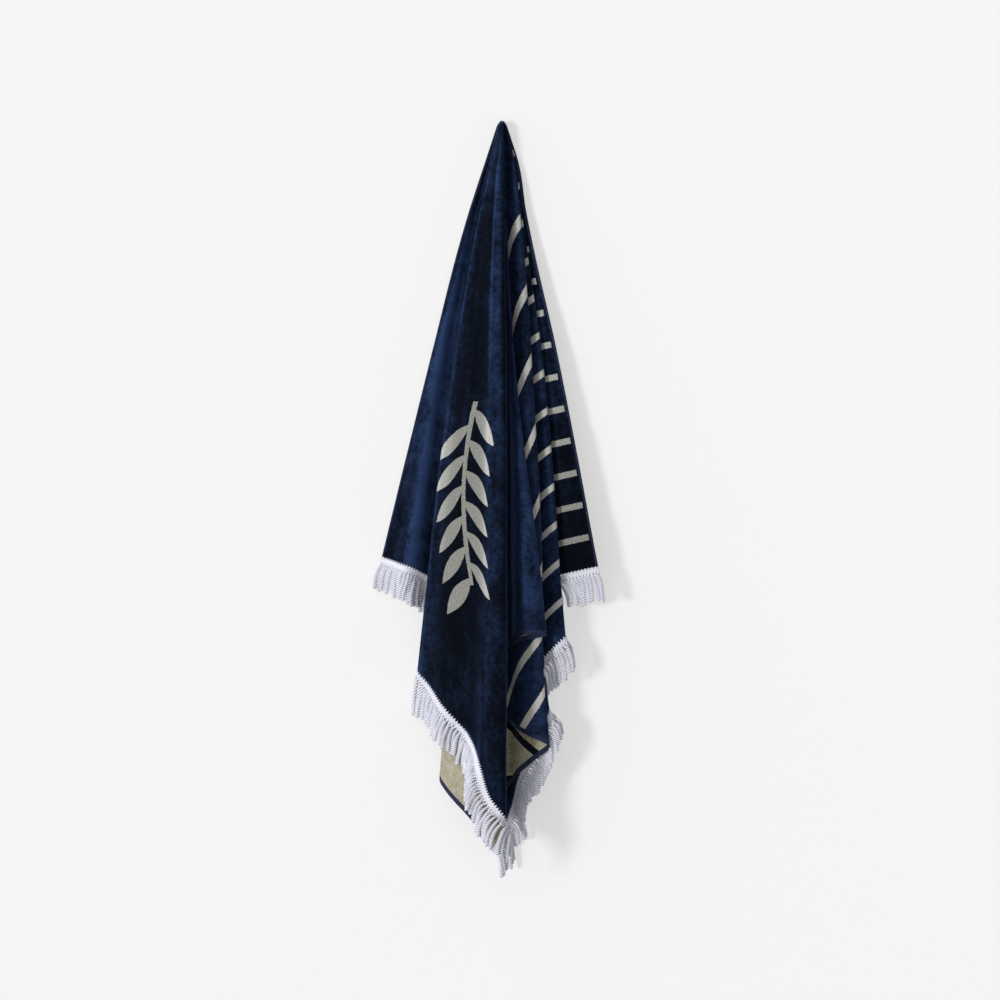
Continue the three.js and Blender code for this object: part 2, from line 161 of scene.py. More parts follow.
# Where more or less cloth is gathered into a panel: width in metres, how much more and place in degrees
gathers = [
    (frontPanel, 0.011, (0.0, 0.3, 0.6, 1.0, 1.8, 2.2), (-5.5, -4.6, -2.9, -2.1, -1.75, -1.62)),
    (frontPanel, 0.022, (0.0, 0.0, -0.1, -0.3, -0.4, -0.4), (-13.6, -13.5, -11.1, -9.3, -8.7, -8.2)),
    (frontPanel, 0.012, (0.0, 0.0, 0.0, -0.2, -0.4, -0.4), (1.4, 0.9, 0.9, 0.56, 0.52, 0.35)),
    (hiddenPanel, 0.020, (0.0, 0.0, 0.0, 0.0, -0.2, 0.2), (1.4, 0.9, 0.9, 0.56, 0.52, 0.35)),
    (stripedPanel, 0.035, (0.0, 0.0, 0.0, 0.2, 0.5, 0.5), (-4.5, -4.5, -4.5, -4.5, -4.5, -4.5)),
]

# The grid of side angles in degrees, the cross-sections' levels in metres, and the points on their lines
grid = {
    "first": -26,
    "step": 0.125,
    "cells": 368,
    "level": 0.02,
    "levels": 74,
    "fine": 64,
    "panelPoints": 41,
    "turnPoints": 7,
    "justInside": 0.001,
}
gridSides = grid["first"] + grid["step"] * np.arange(grid["cells"])
smallest = 1e-6


# A smooth curve through the values given at the levels
def atLevel(values, radius):
    levels = np.array(towel["levels"])
    v = np.array(values, float)
    slopes = np.zeros(len(v))
    slopes[1:-1] = (v[2:] - v[:-2]) / (levels[2:] - levels[:-2])
    r = np.clip(radius, levels[0], levels[-1])
    i = np.clip(np.searchsorted(levels, r, side="right") - 1, 0, len(v) - 2)
    width = levels[i + 1] - levels[i]
    t = (r - levels[i]) / width
    rise = 3 * t**2 - 2 * t**3
    bend = (t**3 - 2 * t**2 + t) * slopes[i] + (t**3 - t**2) * slopes[i + 1]
    return v[i] + (v[i + 1] - v[i]) * rise + width * bend


# How fully the layers stand apart at a distance from the hang point
def depthShare(radius):
    return min(1, radius / towel["fullDepthAt"])


# How far across a side angle in degrees lies, at a distance from the hang point
def sideToX(side, radius):
    return towel["tipHalfWidth"] * side / towel["tipSide"] + radius * np.sin(np.radians(side))


# Heights raised so that a layer rides over what lies behind it
def liftOver(ground, cells, drop):
    padded = np.pad(ground, cells, mode="edge")
    highest = np.lib.stride_tricks.sliding_window_view(padded, 2 * cells + 1).max(axis=1)
    weights = 1 + cells - np.abs(np.arange(-cells, cells + 1))
    smooth = np.convolve(np.pad(highest, cells, mode="edge"), weights / weights.sum(), mode="valid")
    ramp = drop * np.arange(len(smooth))
    falling = np.maximum.accumulate(smooth + ramp) - ramp
    return (np.maximum.accumulate(falling[::-1] + ramp) - ramp)[::-1]


# Creases where a panel is the front partner of a fold, and so leaves room for it
def frontFolds(panel):
    if panel == frontPanel:
        return [frontPanel, wrapPanel]
    if panel == wrapPanel:
        return [leftFlap]
    return [panel] if 0 < panel < frontPanel else []


# How far each panel stands in front of the wall, over the grid of side angles, at one distance
def stackDepths(radius):
    share = depthShare(radius)
    pitch = towel["pinchedPitch"] + (towel["hangingPitch"] - towel["pinchedPitch"]) * share
    cell = sideToX(grid["step"], radius)
    rideWidth = towel["rideReach"] + towel["rideGrowth"] * radius
    window = int(np.clip(math.ceil(rideWidth / cell), *towel["rideCells"]))
    roomLength = towel["foldRoomLength"] * share + towel["leastRoomLength"]
    ground = np.zeros(grid["cells"])
    depths = {}
    for panel in wallToFront:
        base = liftOver(ground, window, towel["steepestFall"] * cell)
        depth = base + pitch * np.hypot(1, np.gradient(base, cell))
        for fold in frontFolds(panel):
            away = np.radians(gridSides - atLevel(sides[fold], radius)) * radius
            depth += towel["foldRoom"] * share * np.exp(-(away / roomLength) ** 2)
        for owner, height, width, place in ridges:
            if owner == panel:
                depth += height * share * np.exp(-((gridSides - atLevel(place, radius)) / width) ** 2)
        for owner, width, rise, place in steps:
            if owner == panel:
                away = np.radians(gridSides - atLevel(place, radius)) * radius
                depth += atLevel(rise, radius) / 1000 * (1 + np.tanh(away / width)) / 2
        ends = sorted(float(atLevel(sides[k], radius)) for k in (panel, panel + 1))
        inside = (gridSides >= ends[0] - grid["step"]) & (gridSides <= ends[1] + grid["step"])
        ground = np.where(inside, np.maximum(ground, depth), ground)
        depths[panel] = depth
    middle = sideToX(float(atLevel(sides[frontPanel], radius)), radius) + towel["valleyOffset"]
    valley = np.exp(-((sideToX(gridSides, radius) - middle) / towel["valleyWidth"]) ** 2)
    for panel in range(towel["valleyPanels"]):
        depths[panel] = depths[panel] * (1 - towel["valleyShare"] * valley)
    return depths


# One panel's line across the stack, from the tip of one fold to the tip of the next
def panelLine(depths, panel, radius):
    ends = [float(atLevel(sides[k], radius)) for k in (panel, panel + 1)]
    way = math.copysign(1, ends[1] - ends[0])
    pinched = towel["pinchedNose"]
    widest = towel["foldNose"] * (pinched + (1 - pinched) * depthShare(radius))
    noses = [0, 0]
    turns = [np.empty((0, 2))] * 2
    for end, other in ((0, panel - 1), (1, panel + 1)):
        if not 0 <= other < lastCrease:
            continue
        own, partner = (np.interp(ends[end], gridSides, depths[k]) for k in (panel, other))
        half = abs(own - partner) / 2
        noses[end] = min(half, widest)
        out = way * (2 * end - 1)
        x = sideToX(ends[end], radius) - out * noses[end]
        turn = np.linspace(0, math.pi / 2, grid["turnPoints"])[:-1]
        across = x + out * noses[end] * np.cos(turn)
        forward = (own + partner) / 2 + (own - partner) / 2 * np.sin(turn)
        arc = np.stack([across, forward], axis=1)
        turns[end] = arc if end == 0 else arc[::-1]
    t = np.linspace(0, 1, grid["panelPoints"])
    startX = sideToX(ends[0], radius) + way * noses[0]
    endX = sideToX(ends[1], radius) - way * noses[1]
    side = ends[0] + (ends[1] - ends[0]) * t
    flat = np.stack([startX + (endX - startX) * t, np.interp(side, gridSides, depths[panel])], axis=1)
    return np.concatenate([turns[0], flat, turns[1]])


# Points on a panel's line, evenly spaced along the cloth, with its gathers taking up more of it
def spaced(line, fractions, panel, radius):
    run = np.hypot(*np.diff(line, axis=0).T)
    middle = (line[1:, 0] + line[:-1, 0]) / 2
    fullness = np.ones(len(middle))
    for owner, width, more, place in gathers:
        if owner == panel:
            away = middle - sideToX(atLevel(place, radius), radius)
            fullness += atLevel(more, radius) * np.exp(-(away / width) ** 2)
    taken = np.concatenate([[0], np.cumsum(run * fullness)])
    return np.stack([np.interp(fractions * taken[-1], taken, line[:, k]) for k in (0, 1)], axis=1)


# The cloth's cross-section at one distance from the hang point, as (x, depth) rows
def crossSection(radius):
    depths = stackDepths(radius)
    fractions = np.arange(grid["fine"]) / grid["fine"]
    panels = [spaced(panelLine(depths, j, radius), fractions, j, radius) for j in range(lastCrease)]
    line = np.concatenate([*panels, panelLine(depths, lastCrease - 1, radius)[-1:]])
    for _ in range(towel["softenPasses"]):
        line[1:-1] = (line[:-2] + 2 * line[1:-1] + line[2:]) / 4
    return line


sections = np.array([crossSection(grid["level"] * k) for k in range(grid["levels"])])
print("cross-sections:", sections.shape[0])


# The hung place of points at chain values (crease number plus fraction) and distances from the hang point
def hung(chain, radius):
    lastLevel, lastColumn = np.array(sections.shape[:2]) - 1 - grid["justInside"]
    column = np.clip(chain * grid["fine"], 0, lastColumn)
    level = np.clip(radius / grid["level"], 0, lastLevel)
    i, j = column.astype(int), level.astype(int)
    u, v = (column - i)[..., None], (level - j)[..., None]
    here = (sections[j, i] * (1 - u) + sections[j, i + 1] * u) * (1 - v)
    here = here + (sections[j + 1, i] * (1 - u) + sections[j + 1, i + 1] * u) * v
    tip = sections[0, i] * (1 - u) + sections[0, i + 1] * u
    sideways = ((here - tip) ** 2).sum(axis=-1)
    drop = np.sqrt(np.maximum((towel["leastDrop"] * radius) ** 2, radius**2 - sideways))
    inCap = np.clip(1 - radius / towel["capRadius"], 0, 1)
    squeeze = (1 - towel["capShare"] * (1 - np.sqrt(1 - inCap**2)))[..., None]
    middle = sections[0].mean(axis=0)
    here = middle + (here - middle) * squeeze
    return np.stack([here[..., 0], towel["wallGap"] - here[..., 1], -drop], axis=-1)


def flatAngle(chain):
    return np.interp(chain, np.arange(len(creases)), flatAngles)


def pull(chain):
    return np.interp(chain, pulledAt, pulledX), np.interp(chain, pulledAt, pulledY)


# How far the cloth reaches along a chain value, to the fringed end and to the bottom hem
def reach(chain):
    flat = flatAngle(chain)
    across = np.cos(flat)
    alongPull, upPull = pull(chain)
    stretch = 1 + towel["biasStretch"] * np.sin(2 * flat) ** 2
    toEnd = (towel["length"] / 2 - np.sign(across) * alongPull) / np.maximum(smallest, np.abs(across))
    toHem = (towel["width"] - upPull) / np.maximum(smallest, np.sin(flat))
    return toEnd * stretch, toHem * stretch


# The place in the flat towel of a point at a chain value and distance
def flatPlace(chain, radius):
    flat = flatAngle(chain)
    flatRadius = radius / (1 + towel["biasStretch"] * np.sin(2 * flat) ** 2)
    near = np.clip(radius / towel["pullsInFull"], 0, 1)
    alongPull, upPull = pull(chain)
    low = np.clip((radius - towel["slipsFrom"]) / (towel["slipsInFull"] - towel["slipsFrom"]), 0, 1)
    slip = np.interp(chain, slippedAt, slippedX) * low
    return flatRadius * np.cos(flat) + alongPull * near + slip, flatRadius * np.sin(flat) + upPull * near


# The cloth's mesh: its columns are crowded together at the folds and wider apart on the panels
clothMesh = {
    "rows": 112,
    "columnsPerDegree": 1.65,
    "fewestColumns": 10,
    "crowding": 0.72,
    "cornerSamples": 30001,
    "streaksInFull": 0.06,     # nearer to the hang point than this the painted sheen streaks fade out
}


def clothColumns():
    crowding = clothMesh["crowding"] / (2 * math.pi)
    chains = []
    for j in range(lastCrease):
        width = math.degrees(flatAngles[j + 1] - flatAngles[j])
        count = max(clothMesh["fewestColumns"], round(width * clothMesh["columnsPerDegree"]))
        u = np.arange(count) / count
        chains.append(j + u - crowding * np.sin(2 * math.pi * u))
    chains = np.append(np.concatenate(chains), lastCrease)
    fine = np.linspace(0, lastCrease, clothMesh["cornerSamples"])
    toEnd, toHem = reach(fine)
    corners = fine[:-1][np.diff(np.sign(toEnd - toHem)) != 0]
    for corner in corners:
        chains[np.abs(chains - corner).argmin()] = corner
    return chains


def finishedObject(name, bm, materials):
    mesh = bpy.data.meshes.new(name)
    bm.to_mesh(mesh)
    bm.free()
    for polygon in mesh.polygons:
        polygon.use_smooth = True
    for material in materials:
        mesh.materials.append(material)
    made = bpy.data.objects.new(name, mesh)
    bpy.context.scene.collection.objects.link(made)
    return made


# Waves of the cloth's soft relief: height in metres, radians per metre up and across, and start
relief = [
    (0.0011, 38, 21, 0.6),
    (0.0008, 71, -33, 2.1),
    (0.0006, 26, 120, 4.0),
    (0.0005, 163, 87, 1.3),
]


# All the layers share the relief, so that they never cut each other
def crumple(points, radius):
    x, z = points[..., 0], points[..., 2]
    waves = sum(height * np.sin(up * z + across * x + start) for height, up, across, start in relief)
    points[..., 1] += waves * np.clip(radius / towel["crumpledInFull"], 0, 1)
    return points


class Wire:
    # A node's socket that takes plain arithmetic: each sum adds its Math node
    def __init__(self, tree, socket=None):
        self.tree = tree
        self.socket = socket

    def node(self, kind, settings, inputs, out=0):
        made = self.tree.nodes.new(kind)
        for name, value in settings.items():
            setattr(made, name, value)
        for name, value in inputs.items():
            if isinstance(value, Wire):
                self.tree.links.new(value.socket, made.inputs[name])
            else:
                made.inputs[name].default_value = value
        return Wire(self.tree, made.outputs[out])

    def maths(self, operation, *values):
        return self.node("ShaderNodeMath", {"operation": operation}, dict(enumerate(values)))

    def __add__(self, other):
        return self.maths("ADD", self, other)

    __radd__ = __add__

    def __mul__(self, other):
        return self.maths("MULTIPLY", self, other)

    __rmul__ = __mul__

    def __sub__(self, other):
        return self.maths("SUBTRACT", self, other)

    def __rsub__(self, other):
        return self.maths("SUBTRACT", other, self)

    def __truediv__(self, other):
        return self.maths("DIVIDE", self, other)

    def __rtruediv__(self, other):
        return self.maths("DIVIDE", other, self)

    def __abs__(self):
        return self.maths("ABSOLUTE", self)


# 0 to 1 as value goes from low to high, smoothly
def between(value, low, high):
    settings = {"interpolation_type": "SMOOTHSTEP"}
    return value.node("ShaderNodeMapRange", settings, {"Value": value, "From Min": low, "From Max": high})


def either(a, b):
    return a.maths("MAXIMUM", a, b)


def mixed(factor, a, b):
    first, second = (colour if isinstance(colour, Wire) else (*colour, 1) for colour in (a, b))
    return factor.node("ShaderNodeMix", {"data_type": "RGBA"}, {0: factor, 6: first, 7: second}, out=2)


# A noise texture, by its scale, or its three scales where it is stretched, its detail and its roughness
def noise(start, vector, scale, detail, rough=0.5):
    if isinstance(scale, tuple):
        vector = start.node("ShaderNodeMapping", {}, {"Vector": vector, "Scale": scale})
        scale = 1
    inputs = {"Vector": vector, "Scale": scale, "Detail": detail, "Roughness": rough}
    return start.node("ShaderNodeTexNoise", {}, inputs)


def newMaterial(name, fixed):
    material = bpy.data.materials.new(name)
    material.use_nodes = True
    tree = material.node_tree
    surface = tree.nodes["Principled BSDF"]
    for socket, value in fixed.items():
        surface.inputs[socket].default_value = value
    return material, Wire(tree), surface


# A fine relief: how strong it is, and how deep in metres
def relieved(start, height, strength, depth):
    return start.node("ShaderNodeBump", {}, {"Strength": strength, "Distance": depth, "Height": height})


def connect(tree, surface, links):
    for name, wire in links.items():
        tree.links.new(wire.socket, surface.inputs[name])


# The towel's pattern, in metres of flat cloth: cream stripes on the right half, a leafy branch on the left
pattern = {
    "stripePitch": 0.061,
    "stripeWidth": 0.0115,
    "lastStripe": 13,
    "hungMargin": 0.0065,
    "stripeEdge": 0.0005,
    "hemEdge": 0.0004,
    "ragged": (230, 2.0, 0.6),
    "raggedness": 0.0026,
    "branchStart": (-0.395, 0.325),
    "branchAngle": 139,
    "branchLength": 0.33,
    "branchBow": 0.22,
    "branchWidth": 0.0085,
    "leafPairs": 6,
    "leafStagger": 0.25,       # how far the leaves of a pair are apart, in pairs
    "leafSpread": 46,
    "leafHalf": 0.048,
    "leafWidth": 0.0135,
    "leafEdge": 0.0003,
}


# 1 within a pointed leaf, from where it leaves the branch
def leafMask(along, across, root, angle):
    soft = pattern["leafEdge"]
    c, s = math.cos(math.radians(angle)), math.sin(math.radians(angle))
    out = ((along - root) * c + across * s) / pattern["leafHalf"] - 1
    aside = abs(across * c - (along - root) * s)
    return between((1 - out * out) * pattern["leafWidth"] - aside, -soft, soft)


# 1 on the branch: a bowed stem with leaves in pairs
def branchMask(x, y):
    startX, startY = pattern["branchStart"]
    angle = math.radians(pattern["branchAngle"])
    along = (x - startX) * math.cos(angle) + (y - startY) * math.sin(angle)
    length = pattern["branchLength"]
    bow = (along * (length - along)) * (pattern["branchBow"] / length)
    across = (y - startY) * math.cos(angle) - (x - startX) * math.sin(angle) - bow
    half = pattern["branchWidth"] / 2
    soft = pattern["leafEdge"]
    inside = between(abs(along - length / 2), length / 2 + soft, length / 2 - soft)
    mask = inside * between(abs(across), half + soft, half - soft)
    for pair in range(pattern["leafPairs"]):
        for side in (-1, 1):
            root = (pair + 0.5 + side * pattern["leafStagger"]) * length / pattern["leafPairs"]
            mask = either(mask, leafMask(along, across, root, side * pattern["leafSpread"]))
    return mask


# 1 where the weave shows the second colour: the stripes and the branch
def patternMask(x, y):
    pitch = pattern["stripePitch"]
    half = pattern["stripeWidth"] / 2
    soft = pattern["stripeEdge"]
    margin = pattern["hungMargin"]
    fromStripe = abs(x.maths("MODULO", x + pitch / 2, pitch) - pitch / 2)
    stripe = between(fromStripe, half + soft, half - soft)
    lastEdge = (pattern["lastStripe"] + 0.5) * pitch
    onHalf = between(x, pitch / 2, pitch / 2 + 2 * soft) * between(x, lastEdge + 2 * soft, lastEdge)
    belowHem = between(y, margin - soft, margin + soft)
    return either(stripe * onHalf * belowHem, branchMask(x, y))


# Colours of the weave, in linear light: navyDeep and navyLit are the navy's painted shade and light,
# creamDark is partly painted shade, fringeShade is painted shade in the grooves
colours = {
    "navyDeep": (0.0022, 0.0032, 0.0060),
    "navyLit": (0.0225, 0.0450, 0.1200),
    "navyLoops": (0.0050, 0.0075, 0.0170),
    "cream": (0.510, 0.505, 0.470),
    "creamDark": (0.170, 0.170, 0.155),
    "terry": (0.545, 0.508, 0.405),
    "terryDark": (0.260, 0.236, 0.160),
    "hem": (0.0330, 0.0420, 0.0900),
    "hemDark": (0.0110, 0.0150, 0.0380),
    "fringe": (0.800, 0.805, 0.880),
    "fringeShade": (0.330, 0.330, 0.420),
}


# The place in the flat towel, the distance from its hung side, and the pattern on it with ragged edges
def clothCoordinates(start):
    flat = start.node("ShaderNodeUVMap", {"uv_map": "flat"}, {})
    x = start.node("ShaderNodeSeparateXYZ", {}, {0: flat})
    y = Wire(start.tree, x.socket.node.outputs[1])
    ragged = (noise(start, flat, *pattern["ragged"]) - 0.5) * pattern["raggedness"]
    return flat, y, patternMask(x + ragged, y + ragged)


def hemMask(y):
    soft = pattern["hemEdge"]
    hemLine = towel["width"] - towel["hem"]
    hungSide = between(y, towel["sideHem"] + soft, towel["sideHem"] - soft)
    return either(hungSide, between(y, hemLine - soft, hemLine + soft))


# The hems are flat-woven in fine ribs
hemWeave = {
    "ribs": ((900, 220, 1), 1.0),
    "tones": (0.3, 0.7),
}


def hemTone(start, flat):
    ribs = noise(start, flat, *hemWeave["ribs"])
    return mixed(between(ribs, *hemWeave["tones"]), colours["hemDark"], colours["hem"])


# The velour's textures, how strongly each shows in the nap and the painted light, and how these turn to
# painted shine
velour = {
    "streaks": ((90, 6, 1), 3.0),
    "patches": ((34, 20, 1), 3.0, 0.6),
    "mottle": (110, 4.0, 0.66),
    "pile": (330, 3.0, 0.6),
    "loops": (560, 2.0),
    "paintedLightMottle": 0.8,      # where the painted light is strong
    "paintedLightPatches": 1.2,
    "napStreaks": 0.7,         # everywhere
    "napPile": 0.4,
    "napMottle": 0.6,
    "napPatches": 0.4,
    "shineInFull": 1.15,
    "roughness": 0.95,
    "smoothing": 0.15,
    "grainLoops": 0.66,        # the loops of the stripes and the branch
    "grainPile": 0.55,
    "creamTones": (-0.12, 0.55),
    "pileHeight": 0.5,
    "loopHeight": 0.4,
    "mottleHeight": 1.2,
    "patternHeight": 0.5,
    "relief": (0.6, 0.0018),
}


# The navy face: cut pile with looped cream stripes, its colour painted lighter with sheen where the painted
# light is strong, and the cream painted darker where it is weak
def velourMaterial():
    material, start, surface = newMaterial("navyVelour", {
        "Sheen Weight": 0.55,
        "Sheen Roughness": 0.30,
        "Sheen Tint": (0.26, 0.44, 1.0, 1),
        "Specular IOR Level": 0.03,
    })
    flat, y, cream = clothCoordinates(start)
    fall = start.node("ShaderNodeUVMap", {"uv_map": "fall"}, {})
    napAndPaintedLight = start.node("ShaderNodeAttribute", {"attribute_name": "napAndPaintedLight"}, {}, out="Fac")
    streaks = noise(start, fall, *velour["streaks"])
    patches, mottle, pile, loops = (
        noise(start, flat, *velour[name]) for name in ("patches", "mottle", "pile", "loops")
    )
    # painted light: the painted light value, with the pile's own mottle, patches and streaks, mixes the
    # navy from its shaded to its lit tone
    napAndSheen = napAndPaintedLight * (mottle * velour["paintedLightMottle"] + patches * velour["paintedLightPatches"])
    napAndSheen = napAndSheen + (streaks - 0.5) * velour["napStreaks"] + (pile - 0.5) * velour["napPile"]
    napAndSheen = napAndSheen + (mottle - 0.5) * velour["napMottle"] + (patches - 0.5) * velour["napPatches"]
    shine = between(napAndSheen, 0, velour["shineInFull"])
    navy = mixed(shine, colours["navyDeep"], colours["navyLit"])
    grain = (loops - 0.5) * velour["grainLoops"] + (pile - 0.5) * velour["grainPile"]
    # painted shade: the cream stripes are darker where the painted light is weak
    tone = between(napAndPaintedLight + grain, *velour["creamTones"])
    face = mixed(cream, navy, mixed(tone, colours["creamDark"], colours["cream"]))
    height = pile * velour["pileHeight"] + loops * velour["loopHeight"]
    height = height + mottle * velour["mottleHeight"] + cream * velour["patternHeight"]
    connect(start.tree, surface, {
        "Base Color": mixed(hemMask(y), face, hemTone(start, flat)),
        "Roughness": velour["roughness"] - shine * velour["smoothing"],
        "Normal": relieved(start, height, *velour["relief"]),
    })
    return material


terry = {
    "loops": (420, 3.0, 0.6),
    "patches": (60, 3.0),
    "toneLoops": 0.9,
    "tonePatches": 0.25,
    "creamTones": (0.44, 0.74),
    "navyTones": (0.4, 0.7),
    "patchHeight": 0.4,
    "relief": (0.8, 0.0018),
}


# The reverse: looped terry in the opposite colours
def terryMaterial():
    material, start, surface = newMaterial("creamTerry", {
        "Sheen Weight": 0.10,
        "Sheen Roughness": 0.5,
        "Specular IOR Level": 0.05,
        "Roughness": 0.95,
    })
    flat, y, navyPart = clothCoordinates(start)
    loops = noise(start, flat, *terry["loops"])
    patches = noise(start, flat, *terry["patches"])
    tone = between(loops * terry["toneLoops"] + patches * terry["tonePatches"], *terry["creamTones"])
    cream = mixed(tone, colours["terryDark"], colours["terry"])
    navy = mixed(between(loops, *terry["navyTones"]), colours["navyDeep"], colours["navyLoops"])
    connect(start.tree, surface, {
        "Base Color": mixed(hemMask(y), mixed(navyPart, cream, navy), hemTone(start, flat)),
        "Normal": relieved(start, loops + patches * terry["patchHeight"], *terry["relief"]),
    })
    return material


def hemMaterial():
    material, start, surface = newMaterial("hemWeave", {"Roughness": 0.9, "Specular IOR Level": 0.1})
    flat = start.node("ShaderNodeUVMap", {"uv_map": "flat"}, {})
    connect(start.tree, surface, {"Base Color": hemTone(start, flat)})
    return material


# Painted light and shade in the pile's colour for each panel that shows, at each level: panels in the shade
# of folds in front are painted lighter, the right flap darker towards the bottom
napAndPaintedLightOf = {
    rightFlap: (0.20, 0.24, 0.28, 0.06, 0.00, 0.00),
    outerPanel: (0.28, 0.30, 0.38, 0.46, 0.50, 0.50),
    innerPanel: (0.28, 0.30, 0.38, 0.46, 0.50, 0.50),
    stripedPanel: (0.40, 0.46, 0.34, 0.42, 0.56, 0.54),
    plainPanel: (0.42, 0.54, 0.66, 0.62, 0.48, 0.46),
    frontPanel: (0.22, 0.10, 0.06, 0.04, 0.09, 0.12),
    leftFlap: (0.16, 0.24, 0.22, 0.18, 0.16, 0.16),
}

# Painted highlights: streaks of sheen painted into the pile's colour, mostly on ridges and fold edges that
# face the light: panel, width in degrees, strength and place at each level
paintedSheenStreaks = [
    (leftFlap, 0.7, (0.0, 0.1, 0.7, 0.85, 0.85, 0.85), (-18.0, -17.5, -14.6, -11.8, -11.7, -11.7)),
    (leftFlap, 2.0, (0.0, 0.25, 0.55, 0.3, 0.2, 0.2), (-17.0, -15.0, -12.6, -11.0, -10.6, -10.6)),
    (leftFlap, 1.1, (0.0, 0.1, 0.45, 0.0, 0.0, 0.0), (-16.0, -16.0, -15.5, -14.5, -14.5, -14.5)),
    (frontPanel, 0.45, (0.6, 0.6, 0.35, 0.2, 0.15, 0.15), (-5.5, -4.4, -2.9, -2.0, -1.85, -2.2)),
    (frontPanel, 1.5, (0.5, 0.45, 0.32, 0.2, 0.12, 0.1), (-3.8, -2.8, -1.9, -1.3, -1.0, -1.0)),
    (frontPanel, 0.3, (0.4, 0.45, 0.5, 0.5, 0.4, 0.3), (-13.5, -13.4, -11.1, -9.4, -8.8, -8.3)),
    (frontPanel, 0.8, (0.3, 0.3, 0.2, 0.2, 0.2, 0.2), (-12.8, -12.6, -10.3, -8.6, -8.0, -7.6)),
    (frontPanel, 2.5, (0.15, 0.06, 0.03, 0.03, 0.0, 0.0), (-10.0, -9.5, -8.0, -7.0, -6.0, -6.0)),
    (frontPanel, 1.0, (0.1, 0.18, 0.22, 0.15, 0.05, 0.0), (-1.2, -0.9, -0.7, -0.5, -0.4, -0.4)),
]


# Cloth: one sheet in the drape's shape, with its pattern coordinates
def makeCloth():
    chains = clothColumns()
    rows = clothMesh["rows"]
    across = np.broadcast_to(chains, (rows, len(chains)))
    ends = np.minimum(*reach(chains))
    along = np.linspace(0, 1, rows)[:, None]
    radius = along * ends
    points = crumple(hung(across, radius), radius)
    flatX, flatY = flatPlace(across, radius)
    bm = bmesh.new()
    bmesh.ops.create_grid(bm, x_segments=len(chains) - 1, y_segments=rows - 1, size=0.5)
    bm.verts.ensure_lookup_table()
    flatMap = bm.loops.layers.uv.new("flat")
    fallMap = bm.loops.layers.uv.new("fall")
    napAndPaintedLight = bm.verts.layers.float.new("napAndPaintedLight")
    full = bm.verts.layers.deform.verify()
    panels = np.minimum(chains.astype(int), lastCrease - 1)
    side = np.degrees(np.arctan2(points[..., 0], -points[..., 2]))
    thickness = np.clip(radius / towel["fullThicknessAt"], 0, 1)
    # painted light and shade for each panel and painted sheen streaks on ridges, kept on the vertices for
    # the navy's colour
    shine = np.zeros_like(radius)
    for panel, napAndSheen in napAndPaintedLightOf.items():
        shine += atLevel(napAndSheen, radius) * (panels == panel)
    fading = np.clip(radius / clothMesh["streaksInFull"], 0, 1)
    for panel, width, strength, place in paintedSheenStreaks:
        near = np.exp(-((side - atLevel(place, radius)) / width) ** 2)
        shine += atLevel(strength, radius) * near * (panels == panel) * fading
    angle = flatAngle(across) / math.pi
    for index, vertex in enumerate(bm.verts):
        i, j = divmod(index, len(chains))
        vertex.co = points[i, j]
        vertex[napAndPaintedLight] = shine[i, j]
        vertex[full][0] = thickness[i, j]
        for loop in vertex.link_loops:
            loop[flatMap].uv = (flatX[i, j], flatY[i, j])
            loop[fallMap].uv = (angle[i, j], radius[i, j])
    cloth = finishedObject("towelCloth", bm, [velourMaterial(), terryMaterial(), hemMaterial()])
    cloth.vertex_groups.new(name="thickness")
    shell = cloth.modifiers.new("thickness", "SOLIDIFY")
    shell.thickness = towel["thickness"]
    shell.offset = 0
    shell.vertex_group = "thickness"
    shell.thickness_vertex_group = towel["pinchedShare"]
    shell.material_offset = 1
    shell.material_offset_rim = 2
    return cloth


# Fringe: a knitted header across the cut end, and looped, twisted cords below it
fringe = {
    "ribPitch": 0.0031,
    "ribRadius": 0.0019,
    "ribLength": 0.0155,
    "ribSteps": 14,
    "ribStarts": (0.0016, -0.0020),     # every other rib reaches onto the cloth, so the header is scalloped
    "ribSwell": 0.8,                    # the ribs are thicker where they hold the cloth between them
    "ribSwellLength": 0.0035,
    "stitch": 0.0056,                   # the ribs swell and narrow at every stitch
    "stitchDepth": 0.24,
    "eyeletRow": 0.0112,                # a row of small gaps above the cords, painted as dark shade on every other rib
    "eyeletHalf": 0.0013,
    "ribTones": (0.85, 0.35, 0.8),      # painted light and shade: a rib is pale, paler where it swells and darker at its sides, in the grooves
    "endSpans": {1: (0, 7), -1: (lastCrease, 8.1)},     # the chain values between which each cut end lies
    "endSamples": 5001,
    "endStep": 0.0015,
    "cordPitch": 0.0080,
    "pitchVaries": 0.0005,
    "cordLength": 0.054,
    "cordRoot": 0.0130,
    "cordTurn": 0.0090,
    "cordSteps": 52,
    "ropeSides": 10,
    "cordRadius": 0.0036,
    "cordLobe": 0.0011,
    "tipLength": 0.0035,
    "rootLength": 0.0060,
    "rootShare": 0.85,
    "lengths": (0.92, 1.06),
    "bend": 0.022,                      # how soon a cord turns from square to the edge to straight down
    "bendVaries": (0.85, 1.2),
    "sway": 0.0018,
    "wobble": 0.0012,
    "layer": 0.0009,                    # every other cord lies this much in front of the middle
    "layerSoonness": 3,
    "leastFullness": (0.03, 0.02),      # what is left of a rib's and a cord's section at its end, squared
}

# Groups of cords that don't hang plainly: the end they are on (1 right, -1 left), where along it and how
# wide the group is, and how far their tips lie aside, forward and lower
cordGroups = [
    (1, 0.000, 0.035, (0.006, 0, -0.003)),
    (1, 0.068, 0.024, (0.014, 0, -0.008)),
    (1, 0.488, 0.016, (-0.007, 0.020, 0.003)),
    (1, 0.675, 0.025, (-0.003, 0, -0.010)),
    (-1, 0.000, 0.050, (-0.007, 0, -0.006)),
    (-1, 0.545, 0.035, (0, 0, 0.016)),
    (-1, 0.950, 0.060, (-0.016, 0, 0.004)),
]


# Evenly spaced places along a cut end, about a pitch apart
def placesAlong(pitch):
    count = int(towel["width"] / pitch)
    return (np.arange(count) + 0.5) * towel["width"] / count


